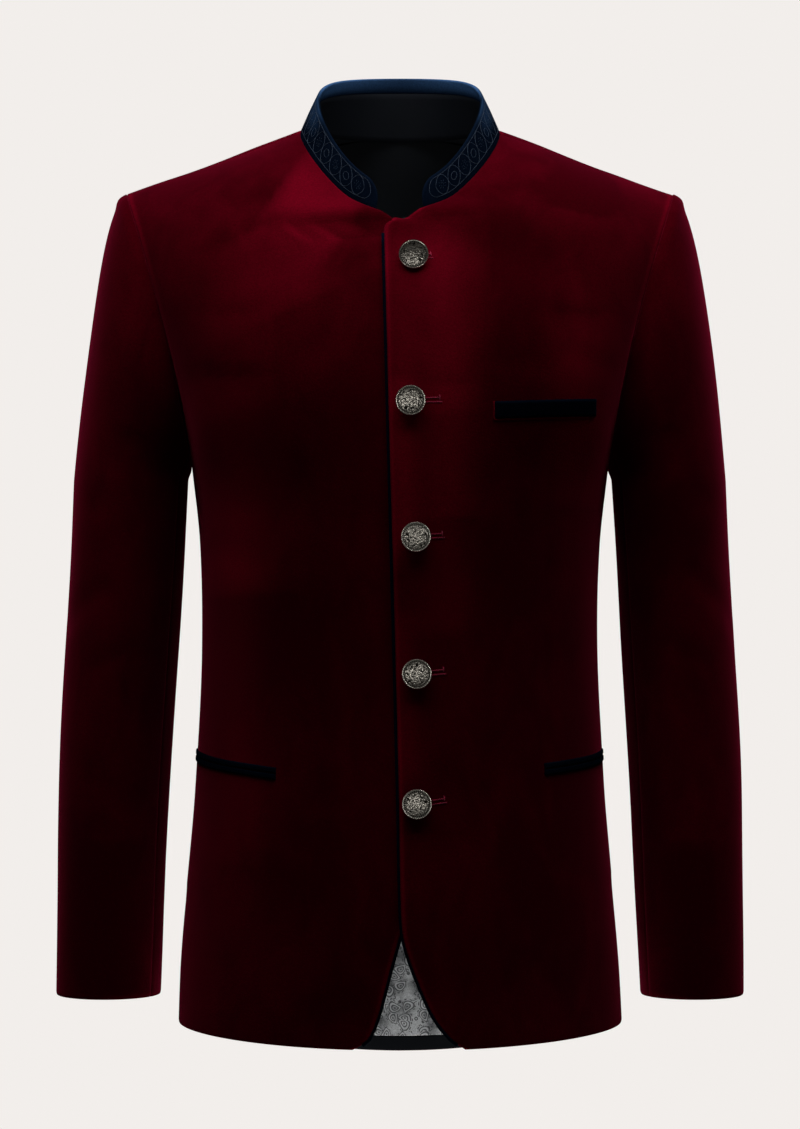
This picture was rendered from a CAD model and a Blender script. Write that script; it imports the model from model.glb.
"""The looks of an alpine jacket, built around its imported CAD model.

Metres, +Z up. +X is the wearer's left, -Y is the front. The cloth pieces repeat the surfaces of the CAD
solids on a finer grid, with rolled seams, soft creases and stitching. A row runs round the body from the
centre to the side. Rows are numbered -1 at the hem, 0 at the underarm and 1 at the shoulder seam.
"""

from collections import namedtuple
from functools import lru_cache, partial
from math import atan2, copysign, cos, pi, radians, sin, sqrt

import bpy
import numpy as np
from bpy.props import FloatProperty, FloatVectorProperty, PointerProperty
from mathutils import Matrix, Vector, noise
from mathutils.bvhtree import BVHTree


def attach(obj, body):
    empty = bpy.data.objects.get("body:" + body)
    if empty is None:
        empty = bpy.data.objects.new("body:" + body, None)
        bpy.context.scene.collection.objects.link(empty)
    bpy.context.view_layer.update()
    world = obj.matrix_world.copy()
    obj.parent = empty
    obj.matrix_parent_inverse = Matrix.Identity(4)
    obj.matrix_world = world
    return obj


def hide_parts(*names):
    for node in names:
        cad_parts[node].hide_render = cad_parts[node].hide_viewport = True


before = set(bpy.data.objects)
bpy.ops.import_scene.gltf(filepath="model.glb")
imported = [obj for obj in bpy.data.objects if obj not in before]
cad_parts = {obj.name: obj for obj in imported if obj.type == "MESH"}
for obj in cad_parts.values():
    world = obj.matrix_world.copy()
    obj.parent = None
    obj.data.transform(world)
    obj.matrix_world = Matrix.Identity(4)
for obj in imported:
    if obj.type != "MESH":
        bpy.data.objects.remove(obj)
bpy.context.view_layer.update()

bl_info = {
    "name": "Alpine jacket",
    "version": (1, 0, 0),
    "blender": (4, 5, 0),
    "location": "3D View > Sidebar > Jacket",
    "description": "Velvet jacket with a stand-up collar, embroidered collar ends and relief buttons",
    "category": "Add Mesh",
}

# Neck and collar, with their heights at the centre back, side and centre front, and a swing that
# flattens the slope at the side
NECK_HALF_WIDTH = 0.080
NECK_BACK_DEPTH = 0.078
NECK_FRONT_DEPTH = 0.088
NECK_HEIGHTS = (0.005, 0.000, -0.075, 0.003)
NECK_POINT = 0.003
NECK_SHOULDERS = 0.0034
COLLAR_TOP_HALF_WIDTH = 0.066
COLLAR_TOP_BACK_DEPTH = 0.070
COLLAR_TOP_FRONT_DEPTH = 0.0775
COLLAR_TOP_HEIGHTS = (0.0525, 0.028, -0.050, 0.0017)
COLLAR_END = radians(166.5)
COLLAR_ROUNDING = radians(9.5)
COLLAR_END_HEIGHT = 0.32
COLLAR_THICKNESS = 0.0030
COLLAR_TURN_IN = 0.012
COLLAR_TURN_IN_SHARE = 0.45

# Shoulder, armhole and hem
SHOULDER = Vector((0.218, 0.005, -0.049))
UNDERARM = Vector((0.1662, 0.0, -0.268))
SIDE_HEM = -0.7095
ARMHOLE_LEAN = 1.5
ARMHOLE_ROWS = 0.8
FULLNESS = 0.62
SIDE_TURN = 0.85

SIDE_SEAM = (("level", "half_width"), (
    (-0.7095, 0.1772),
    (-0.6600, 0.1748),
    (-0.6000, 0.1700),
    (-0.5200, 0.1630),
    (-0.4200, 0.1580),
    (-0.3300, 0.1600),
    (-0.2680, 0.1662),
))

CENTRE_LINES = (("level", "front", "back"), (
    (-0.7500, 0.1260, 0.1190),
    (-0.6400, 0.1235, 0.1160),
    (-0.5200, 0.1175, 0.1040),
    (-0.4200, 0.1150, 0.0965),
    (-0.3300, 0.1190, 0.1060),
    (-0.2500, 0.1245, 0.1165),
    (-0.1900, 0.1240, 0.1205),
    (-0.1300, 0.1120, 0.1175),
    (-0.0750, 0.0880, 0.1080),
    (0.0050, 0.0700, 0.0780),
))

Half = namedtuple("Half", "face depth hem neck_level neck_row neck_angle armhole_depth sway past_neck")
FRONT = Half(-1, "front", -0.7180, NECK_HEIGHTS[2] - NECK_POINT, 0.55, pi, 0.070, 0.20, 0.115)
BACK = Half(1, "back", -0.7485, NECK_HEIGHTS[0], 0.75, 0.0, 0.078, 0.10, 0.090)

# Front edges, own side positive: the distance of each edge from the centre line down the front
FRONT_LIFT = 0.0026
LIFT_FULL_TO = 0.041
LIFT_GONE_AT = 0.115
LIFT_ROWS_PAST_NECK = 0.18
LEFT_EDGE = (("level", "x"), (
    (-0.7180, 0.0500),
    (-0.7100, 0.0393),
    (-0.6948, 0.0271),
    (-0.6750, 0.0175),
    (-0.6500, 0.0077),
    (-0.6300, 0.0022),
    (-0.6000, 0.0004),
    (-0.5270, -0.0010),
    (-0.3230, -0.0062),
    (-0.0980, -0.0122),
    (-0.0845, -0.0121),
    (-0.0806, -0.0104),
    (-0.0788, -0.0075),
    (-0.0776, -0.0040),
    (-0.0770, 0.0000),
))
RIGHT_EDGE = (("level", "x"), (
    (-0.7180, 0.0365),
    (-0.7113, 0.0258),
    (-0.7030, 0.0208),
    (-0.6870, 0.0153),
    (-0.6600, 0.0083),
    (-0.6300, -0.0003),
    (-0.6000, -0.0110),
    (-0.5500, -0.0290),
    (-0.5000, -0.0365),
    (-0.0750, -0.0370),
))
PIPING_RADIUS = 0.0012
PIPING_TOP = -0.0835
PIPING_SUNK = 0.0008
PIPING_FOOT_ROW = -0.995

# Sleeve, from the biceps to the cuff, right where the arm hangs
SLEEVE = (("level", "centre_x", "half_width", "centre_y", "half_depth"), (
    (-0.6860, 0.2319, 0.0415, -0.0180, 0.0445),
    (-0.6200, 0.2305, 0.0428, -0.0120, 0.0480),
    (-0.5200, 0.2280, 0.0444, -0.0040, 0.0540),
    (-0.4000, 0.2217, 0.0453, 0.0030, 0.0600),
    (-0.2780, 0.2149, 0.0456, 0.0010, 0.0640),
))
BICEPS = -0.278
CUFF = -0.686
SLEEVE_SLOPE = 0.10
HEAD_FORWARD = 0.30
HEAD_OVER = 0.39
HEAD_CLOSE = 0.73
HEAD_FALL = (0.33, 0.18)
FRONT_SLEEVE_SEAM = radians(150)
BACK_SLEEVE_SEAM = radians(-118)

# What lies on the fronts, each placed by its x and height on the left front. A jet ends at a share of the way
# from the centre to the side.
WELT = dict(inner=0.0727, outer=0.1525, height=0.0135, inner_level=-0.2332, outer_level=-0.2300)
JET_HEIGHT = 0.0046
JET_END = 0.96
JETS = (("hand", "inner", "inner_level", "outer_level"), (
    ("right", 0.0960, -0.5070, -0.4960),
    ("left", 0.1120, -0.5040, -0.4960),
))
BUTTONS = (("x", "level", "hole_end", "hole_slope"), (
    (0.0105, -0.1065, 0.0255, 0.00),
    (0.0080, -0.2190, 0.0322, 0.03),
    (0.0120, -0.3235, 0.0342, 0.05),
    (0.0127, -0.4290, 0.0352, 0.09),
    (0.0127, -0.5290, 0.0358, 0.14),
))

# A buttonhole, worked along both sides of its slit, with a bar across its outer end
HOLE_IN = 0.0040
HOLE_STITCH_STEP = 0.0007
HOLE_HALF_SLIT = 0.0011
HOLE_STITCH_END = 0.0021
HOLE_BAR_IN = 0.0020
STITCH_RADIUS = 0.00026
STITCH_RISE = 0.0003

# A button from its middle outwards: a grained dome, a ring of slots, a groove and a rim, then its underside
BUTTON_RADIUS = 0.0115
BUTTON_RIM = 0.0104
BUTTON_GROOVE = 0.0102
BUTTON_SLOTS = 0.0090
BUTTON_SLOT_COUNT = 38
BUTTON_TOP = 0.0072
BUTTON_DOME_FOOT = 0.0025
BUTTON_DOME_RISE = 0.0047
BUTTON_DOME_RADIUS = 0.0128
BUTTON_RELIEF = 0.00025
BUTTON_RIM_LEVEL = 0.0052
BUTTON_RIM_RISE = 0.0003
BUTTON_UNDER = ((0.0116, 0.0036), (0.0111, 0.0026), (0.0060, 0.0021), (0.0028, 0.0020), (0.0028, -0.0003))
BUTTON_RINGS = 72
BUTTON_TURNS = 228
BUTTON_GRAIN = 0.0012

# Embroidery on a collar end, from its front edge back. Of a ring and a star: half the length in metres, and
# half the height as a share of the band.
EYES = 8
EYE = 0.0125
EYES_START = 0.0135
EYES_END = EYES_START + EYE * EYES
NECK_TURN = 0.0845
FRAME_BOW = 0.0065
FRAME_LOW = 0.0040
FRAME_HIGH = 0.0034
WAVE_HEIGHT = 0.48
WAVE_BLUNTNESS = 0.65
RING = (0.0028, 0.17)
STAR = (0.0036, 0.22)
EMBROIDERY_RADIUS = 0.00014
EMBROIDERY_OUT = 0.00035

# Lines on a panel, each with how wide and how strong it is. On the body they go by x, own side positive,
# and round a sleeve by the distance from the top of the arm, forwards positive.
LINE = ("panel", "x", "level", "to_x", "to_level", "width", "strength")
ARM_RADIUS = 0.050
DARTS = (LINE, (
    ("front_right", 0.1010, -0.2640, 0.1000, -0.5030, 0.0022, 1.0),
    ("front_left", 0.1130, -0.2640, 0.1135, -0.4960, 0.0022, 1.0),
))
CREASES = (LINE, (
    ("front_right", 0.165, -0.200, 0.120, -0.185, 0.010, 0.5),
    ("front_left", 0.168, -0.195, 0.125, -0.178, 0.010, 0.5),
    ("front_right", 0.150, -0.330, 0.105, -0.350, 0.012, 0.5),
    ("front_left", 0.152, -0.340, 0.112, -0.355, 0.012, 0.5),
    ("front_right", 0.165, -0.600, 0.140, -0.690, 0.014, 0.5),
    ("front_left", 0.165, -0.590, 0.145, -0.690, 0.014, 0.5),
    ("sleeve_top_right", 0.070, -0.360, 0.010, -0.400, 0.010, 0.8),
    ("sleeve_top_left", 0.072, -0.350, 0.012, -0.396, 0.010, 0.8),
    ("sleeve_top_right", 0.100, -0.410, 0.050, -0.430, 0.009, 0.6),
    ("sleeve_top_left", 0.098, -0.404, 0.050, -0.428, 0.009, 0.6),
    ("sleeve_top_right", 0.080, -0.240, 0.050, -0.310, 0.012, 0.8),
    ("sleeve_top_left", 0.080, -0.236, 0.050, -0.305, 0.012, 0.8),
    ("back_right", 0.160, -0.190, 0.110, -0.170, 0.012, 0.7),
    ("back_left", 0.162, -0.195, 0.112, -0.172, 0.012, 0.7),
    ("back_right", 0.150, -0.400, 0.070, -0.430, 0.014, 0.6),
    ("back_left", 0.150, -0.410, 0.072, -0.432, 0.014, 0.6),
))
STROKES = (LINE, (
    ("front_right", 0.095, -0.050, 0.040, -0.085, 0.034, 0.30),
    ("front_right", 0.115, -0.085, 0.085, -0.150, 0.040, 0.14),
    ("front_right", 0.130, -0.150, 0.130, -0.190, 0.026, 0.12),
    ("front_right", 0.132, -0.200, 0.126, -0.370, 0.028, 0.38),
    ("front_right", 0.130, -0.330, 0.128, -0.580, 0.022, 0.14),
    ("front_right", 0.060, -0.350, 0.055, -0.700, 0.034, -0.06),
    ("front_left", 0.030, -0.075, 0.036, -0.230, 0.024, 0.26),
    ("front_left", 0.034, -0.205, 0.036, -0.310, 0.022, 0.32),
    ("front_left", 0.030, -0.300, 0.036, -0.400, 0.020, 0.14),
    ("front_left", -0.002, -0.090, 0.002, -0.240, 0.013, 0.14),
    ("front_left", 0.000, -0.200, 0.003, -0.350, 0.012, 0.42),
    ("front_left", 0.002, -0.380, 0.004, -0.520, 0.010, 0.16),
    ("front_left", 0.150, -0.005, 0.140, -0.070, 0.026, -0.20),
    ("front_left", 0.160, -0.095, 0.138, -0.150, 0.022, 0.04),
    ("front_left", 0.142, -0.150, 0.140, -0.300, 0.026, 0.26),
    ("front_left", 0.095, -0.080, 0.090, -0.190, 0.024, -0.06),
    ("front_left", 0.095, -0.290, 0.090, -0.700, 0.034, -0.06),
    ("front_left", 0.150, -0.360, 0.148, -0.700, 0.030, -0.06),
    ("sleeve_top_right", 0.080, -0.560, 0.085, -0.700, 0.045, -0.12),
    ("sleeve_top_left", 0.080, -0.560, 0.085, -0.700, 0.045, -0.12),
))

# Pieces of cloth laid flat, and how much of the rectangle each one fills
CUTS = (("piece", "width", "length", "area", "held"), (
    ("velvet_front_left", 0.26, 0.76, 0.150, "hung"),
    ("velvet_front_right", 0.29, 0.76, 0.165, "hung"),
    ("velvet_back_left", 0.235, 0.80, 0.155, "hung"),
    ("velvet_back_right", 0.235, 0.80, 0.155, "hung"),
    ("velvet_sleeve_top_left", 0.27, 0.66, 0.140, "hung"),
    ("velvet_sleeve_top_right", 0.27, 0.66, 0.140, "hung"),
    ("velvet_sleeve_under_left", 0.10, 0.50, 0.040, "hung"),
    ("velvet_sleeve_under_right", 0.10, 0.50, 0.040, "hung"),
    ("velvet_collar", 0.46, 0.070, 0.017, "stretched"),
    ("satin_collar_lining", 0.45, 0.045, 0.0135, "stretched"),
    ("satin_hem_facing", 0.455, 0.0125, 0.0053, "hung"),
    ("jacquard_back_lining", 0.46, 0.56, 0.225, "hung"),
    ("satin_neck_facing", 0.42, 0.20, 0.062, "hung"),
    ("velvet_chest_welt", 0.092, 0.0146, 0.0012, "stretched"),
))

# Linings inside both backs, from one row to another
INSIDES = (("cloth", "node", "slot", "finish", "first", "last"), (
    ("satin", "hem_facing", "dark_facing", "black satin", -0.9988, -0.9760),
    ("jacquard", "back_lining", "grey_jacquard", "grey jacquard", -0.9740, 0.2788),
    ("satin", "neck_facing", "dark_facing", "black satin", 0.2800, BACK.neck_row),
))

# Studio
CAMERA = (0.0, -3.06, -0.345)
LENS = 122.0
FLOOR = -1.35
FLOOR_RADIUS = 6.0
FLOOR_CURVE = 1.5
FLOOR_TOP = 9.0
FLOOR_TURNS = 96
LAMPS = (("name", "width", "height", "power", "lights", "place", "target"), (
    ("top", 2.0, 0.9, "top", "cloth", (0.0, -0.31, 1.05), (0.0, -0.05, -0.20)),
    ("left strip", 0.35, 0.80, "strip", "metal", (-1.15, -2.8, -0.28), (0.0, 0.0, -0.25)),
    ("right strip", 0.28, 0.60, "strip", "metal", (0.95, -2.8, -0.05), (0.0, 0.0, -0.25)),
    ("screen", 5.0, 3.0, "screen", "metal", (0.0, -3.6, -0.30), (0.0, 0.0, -0.30)),
    ("back", 1.60, 0.80, "back", "cloth", (0.0, 1.9, 0.60), (0.0, 0.0, -0.35)),
    ("neck", 0.50, 0.30, "neck", "cloth", (0.0, -2.9, 0.55), (0.0, 0.05, -0.04)),
    ("lining", 0.24, 0.08, "lining", "cloth", (0.0, -0.03, -1.20), (0.0, 0.10, -0.60)),
))

# Grid of a panel, its rounded edges, and how far from a seam or an edge the cloth turns down
CLOTH_STEP = 0.0042
EDGE_LINES = (0.0006, 0.0014, 0.0026, 0.0042, 0.0062, 0.0088)
EDGE_OUT = 0.0002
EDGE_IN = 0.00015
HALF_WIDTH = 0.20
SEAM_REACH = 0.004
ARMHOLE_REACH = 0.005
EDGE_REACH = 0.003
PILE_WIDTH = 0.0017

# How far up and down the creases at the neck's corner and the underarm are softened, fading in from the edge
NECK_SOFTENING = 0.030
UNDERARM_SOFTENING = 0.040
SOFTENING_FADE = 0.015

# Layers inside: seams, facings and linings, which go nearly as far as the side seam
SEAM_GAP = 0.0003
ALLOWANCE_RADIUS = 0.0019
ALLOWANCE_DEPTH = 0.0023
FACING_WIDTH = 0.075
FRONT_HEM_WIDTH = 0.025
LINING_WALL = 0.0008
LINING_STEP = CLOTH_STEP * 1.5
LINING_WIDTH = 0.19
LINING_REACH = 0.985
LINING_SOFTNESS = 0.4
ROW_HEIGHT = 0.48
COLLAR_TUCK = -0.0018
COLLAR_FACE = 0.0016
COLLAR_LINING_FOOT = -0.004

# Padded strips of the pockets, and the pile that stands up beside one
STRIP_LIFT = 0.0001
STRIP_RISE = 0.0012
STRIP_SUNK = 0.0006
STRIP_EDGE = 0.0014
STRIP_STEPS = 12
STRIP_PLACES = 64
PILE_ROOM = 0.0007
PILE_RADIUS = 0.0007

TOP_ROW = 0.9994
TINY = 1e-4
MIRROR = np.array([-1, 1, 1])
HANDS = {"left": 1, "right": -1}
EDGES = {"left": LEFT_EDGE, "right": RIGHT_EDGE}
SEEDS = {"front": 3.0, "back": 30.0, "sleeve_top": 50.0, "sleeve_under": 50.0, "lining": 80.0}


def lerp(a, b, f):
    return a + (b - a) * f


def ease(f):
    """0 to 1 with soft ends."""
    f = np.clip(f, 0.0, 1.0)
    return f * f * (3.0 - 2.0 * f)


def read(table, column, level):
    """One column of a table at a level, smooth between its rows, which run upwards."""
    columns, rows = table
    k = columns.index(column)
    if level <= rows[0][0]:
        return rows[0][k]
    if level >= rows[-1][0]:
        return rows[-1][k]
    i = max(n for n, row in enumerate(rows[:-1]) if row[0] <= level)

    def slope(n):
        low, high = rows[max(n - 1, 0)], rows[min(n + 1, len(rows) - 1)]
        return (high[k] - low[k]) / (high[0] - low[0])

    width = rows[i + 1][0] - rows[i][0]
    f = (level - rows[i][0]) / width
    bend = f * (1 - f) * width
    return lerp(rows[i][k], rows[i + 1][k], ease(f)) + bend * ((1 - f) * slope(i) - f * slope(i + 1))


def named_rows(table):
    columns, rows = table
    return [dict(zip(columns, row)) for row in rows]


def bezier(a, b, c, d, t):
    s = 1 - t
    return a * s ** 3 + b * 3 * s * s * t + c * 3 * s * t * t + d * t ** 3


def around_neck(angle, heights):
    """Height at an angle round the neck, from the centre back at 0 through the side to the front at pi."""
    back, side, front, swing = heights
    mean = (back + front) / 4 + side / 2
    dip = (back + front) / 4 - side / 2
    tilt = (back - front) / 2 - swing
    return mean + tilt * cos(angle) + dip * cos(2 * angle) + swing * cos(3 * angle)


def neckline(angle):
    """A place on the neck seam, which dips to a point between the collar's ends and is flatter under them."""
    depth = NECK_BACK_DEPTH if cos(angle) > 0 else NECK_FRONT_DEPTH
    from_front = pi - angle
    point = (NECK_POINT + NECK_SHOULDERS) * float(ease(from_front / 0.20)) - NECK_POINT
    point -= NECK_SHOULDERS * float(ease((from_front - 0.25) / 0.35))
    height = around_neck(angle, NECK_HEIGHTS) + point
    return Vector((NECK_HALF_WIDTH * sin(angle), depth * cos(angle), height))


def collar_top(angle):
    depth = COLLAR_TOP_BACK_DEPTH if cos(angle) > 0 else COLLAR_TOP_FRONT_DEPTH
    height = around_neck(angle, COLLAR_TOP_HEIGHTS)
    return Vector((COLLAR_TOP_HALF_WIDTH * sin(angle), depth * cos(angle), height))


def armhole(angle, face, depth):
    """The armhole seam, from the underarm at 0 to the shoulder point at pi."""
    rise = (1 - cos(angle)) / 2
    x = lerp(UNDERARM.x, SHOULDER.x, rise ** ARMHOLE_LEAN)
    y = lerp(UNDERARM.y, SHOULDER.y, rise) + face * depth * sin(angle)
    return Vector((x, y, lerp(UNDERARM.z, SHOULDER.z, rise)))


def row_ends(half, row):
    """Where a row starts, on the centre line or neckline, and ends, on the side seam or armhole."""
    if row <= 0:
        level = lerp(UNDERARM.z, half.hem, -row)
        side = lerp(UNDERARM.z, SIDE_HEM, -row)
        start = Vector((0, half.face * read(CENTRE_LINES, half.depth, level), level))
        return start, Vector((read(SIDE_SEAM, "half_width", side), 0, side))
    end = armhole(pi * row ** ARMHOLE_ROWS, half.face, half.armhole_depth)
    if row <= half.neck_row:
        level = lerp(UNDERARM.z, half.neck_level, row / half.neck_row)
        return Vector((0, half.face * read(CENTRE_LINES, half.depth, level), level)), end
    angle = lerp(half.neck_angle, pi / 2, (row - half.neck_row) / (1 - half.neck_row))
    return neckline(angle), end


@lru_cache(maxsize=None)
def controls(half, row):
    """The four points that steer a row's curve."""
    start, end = row_ends(half, row)
    rise = max(row, 0.0)
    past_neck = max(row - half.neck_row, 0.0) / (1 - half.neck_row)
    width = end.x - start.x
    full = lerp(FULLNESS, 1 / 3, rise)
    turn = pi / 2 * (1 - rise) ** SIDE_TURN
    reach = lerp(FULLNESS * abs(start.y), (end - start).length / 3, rise)

    leave = start + Vector((full * width, half.face * half.sway * full * width * sin(pi * past_neck), 0))
    leave.z = lerp(start.z, end.z, full * ease(past_neck))
    arrive = end - Vector((reach * cos(turn), -half.face * reach * sin(turn), 0))
    arrive.z = lerp(start.z, end.z, (arrive.x - start.x) / width)
    return [np.array(point) for point in (start, leave, arrive, end)]


def body(half, row, t):
    """Points of a row, each t being from 0 at the centre or neckline to 1 at the side or armhole."""
    return bezier(*controls(half, row), np.asarray(t)[..., None])


def body_normal(half, row, t):
    t = np.asarray(t)
    across = body(half, row, np.minimum(t + TINY, 1)) - body(half, row, np.maximum(t - TINY, 0))
    up = body(half, min(row + TINY, 1), t) - body(half, max(row - TINY, -1), t)
    return unit(np.cross(across, up)) * -half.face


def unit(vectors):
    return vectors / np.linalg.norm(vectors, axis=-1, keepdims=True)


def t_at(half, row, x):
    """Where a row reaches x, its own side positive."""
    ts = np.linspace(0, 1, 401)
    t = float(np.interp(abs(x), body(half, row, ts)[:, 0], ts))
    return t if x >= 0 else -t


def front_lift(side, row, x):
    """The left front lies on the right one, and comes down to the body's own surface past it."""
    if side < 0:
        return 0.0 * x
    across = 1 - ease((x - LIFT_FULL_TO) / (LIFT_GONE_AT - LIFT_FULL_TO))
    return FRONT_LIFT * across * (1 - ease((row - FRONT.neck_row) / LIFT_ROWS_PAST_NECK))


def sleeve(along, angle):
    """A point of the left sleeve. Along is 0 at the armhole, 1 at the biceps and 2 at the cuff.

    The angle is 0 on top of the arm, a quarter turn at the front and a half turn at the underarm.
    """
    if along >= 1:
        return sleeve_ring(lerp(BICEPS, CUFF, along - 1), angle)
    half = FRONT if sin(angle) >= 0 else BACK
    from_top = abs((angle + pi) % (2 * pi) - pi)
    start = armhole(pi - from_top, half.face, half.armhole_depth)
    end = sleeve_ring(BICEPS, angle)
    top = cos(from_top / 2) ** 2
    chord = (end - start).length
    leave = Vector((top, -HEAD_FORWARD * sin(angle), HEAD_OVER * top - 1)).normalized()
    start += (leave + Vector((1, 0, 0))) * SEAM_GAP
    early = start + leave * chord / 3 * (1 - HEAD_CLOSE * top ** 3)
    late = end + Vector((-SLEEVE_SLOPE, 0, 1)) * chord * (HEAD_FALL[0] + HEAD_FALL[1] * top ** 3)
    return bezier(start, early, late, end, along)


def sleeve_ring(level, angle):
    size = {name: read(SLEEVE, name, level) for name in SLEEVE[0][1:]}
    x = size["centre_x"] + size["half_width"] * cos(angle)
    y = size["centre_y"] - size["half_depth"] * sin(angle)
    return Vector((x, y, level))


def sleeve_normal(along, angle):
    down = sleeve(min(along + TINY, 2), angle) - sleeve(max(along - TINY, 0), angle)
    round_ = sleeve(along, angle + TINY) - sleeve(along, angle - TINY)
    return round_.cross(down).normalized()


def linear(colour):
    """An sRGB hex colour as linear red, green, blue and alpha."""
    shares = [int(colour[k:k + 2], 16) / 255 for k in (0, 2, 4)]
    return tuple(c / 12.92 if c <= 0.04045 else ((c + 0.055) / 1.055) ** 2.4 for c in shares) + (1.0,)


def add(tree, kind, inputs=(), **settings):
    """Adds a node of a kind with its settings, and gives back its outputs.

    Inputs are named, or go from the first one on. Each is a value or another node's output.
    """
    node = tree.nodes.new(f"ShaderNode{kind}")
    for name, value in settings.items():
        setattr(node, name, value)
    for socket, value in inputs.items() if isinstance(inputs, dict) else enumerate(inputs):
        if isinstance(value, bpy.types.NodeSocket):
            tree.links.new(value, node.inputs[socket])
        else:
            node.inputs[socket].default_value = value
    return node.outputs


def blank(name):
    """A new material, ways to add nodes to it and link them, its shader and the place on the object."""
    finish = bpy.data.materials.new(name)
    finish.use_nodes = True
    tree = finish.node_tree
    node = partial(add, tree)
    return finish, node, tree.links.new, tree.nodes["Principled BSDF"], node("TexCoord")["Object"]


def velvet(name, deep, lit, tint, sheen, cloudy):
    """Cotton velvet, whose cut pile swallows the light that meets it end on.

    It is nearly black face on, and lighter where it turns away, where it was stroked and along its seams.
    """
    finish, node, link, shader, place = blank(name)
    # Stroked patches are 40 to 120 mm across, longer down the cloth than across it.
    long = node("Mapping", {"Vector": place, "Scale": (1, 1, 0.55)})["Vector"]
    broad = node("TexNoise", {"Vector": long, "Scale": 1 / 0.110, "Detail": 3.0, "Distortion": 0.6})["Fac"]
    patch = node("TexNoise", {"Vector": long, "Scale": 1 / 0.030, "Detail": 3.0, "Distortion": 0.9})["Fac"]
    # Tufts are 0.3 mm apart, drawn at 1.2 mm so that they show.
    tufts = node("TexNoise", {"Vector": place, "Scale": 1 / 0.0012, "Detail": 2.0})["Fac"]
    cloud = node("Math", (patch, 0.4), operation="MULTIPLY")[0]
    cloud = node("Math", (broad, 0.6, cloud), operation="MULTIPLY_ADD")[0]
    cloud = node("MapRange", (cloud, 0.36, 0.64, 0.0, cloudy))["Result"]
    stroked, seam = (node("Attribute", attribute_name=kept)["Fac"] for kept in ("stroked", "seam"))
    raised = node("Math", (stroked, seam), operation="ADD")[0]
    share = node("Math", (cloud, raised), operation="ADD")[0]
    share = node("Math", (share, 0.0), operation="MAXIMUM")[0]
    share = node("Math", (share, 1.0), operation="MINIMUM")[0]
    colour = node("Mix", {0: share, 6: deep, 7: lit}, data_type="RGBA")[2]
    speck = node("MapRange", (tufts, 0.2, 0.8, 0.72, 1.28))["Result"]
    specked = node("VectorMath", {0: colour, "Scale": speck}, operation="SCALE")[0]
    pile = node("Bump", {"Height": tufts, "Strength": 0.35, "Distance": 0.0006})[0]
    link(specked, shader.inputs["Base Color"])
    link(pile, shader.inputs["Normal"])
    shader.inputs["Roughness"].default_value = 1.0
    shader.inputs["Specular IOR Level"].default_value = 0.0
    shader.inputs["Sheen Weight"].default_value = sheen
    shader.inputs["Sheen Roughness"].default_value = 0.40
    shader.inputs["Sheen Tint"].default_value = tint
    return finish


def satin(name, colour):
    """Black viscose satin: smooth and dark, with a fine diagonal twill."""
    finish, node, link, shader, place = blank(name)
    turned = node("Mapping", {"Vector": place, "Rotation": (0, radians(45), 0)})["Vector"]
    # Twill lines are 0.5 mm apart, drawn at 1 mm.
    twill = node("TexWave", {"Vector": turned, "Scale": 50.0, "Distortion": 0.4})["Fac"]
    uneven = node("TexNoise", {"Vector": place, "Scale": 1 / 0.05, "Detail": 2.0})["Fac"]
    shade = node("MapRange", (uneven, 0.3, 0.7, 0.8, 1.2))["Result"]
    shaded = node("VectorMath", {0: tuple(colour)[:3], "Scale": shade}, operation="SCALE")[0]
    ribbed = node("Bump", {"Height": twill, "Strength": 0.15, "Distance": 0.0001})[0]
    link(shaded, shader.inputs["Base Color"])
    link(ribbed, shader.inputs["Normal"])
    shader.inputs["Roughness"].default_value = 0.6
    shader.inputs["Specular IOR Level"].default_value = 0.08
    return finish


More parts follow.
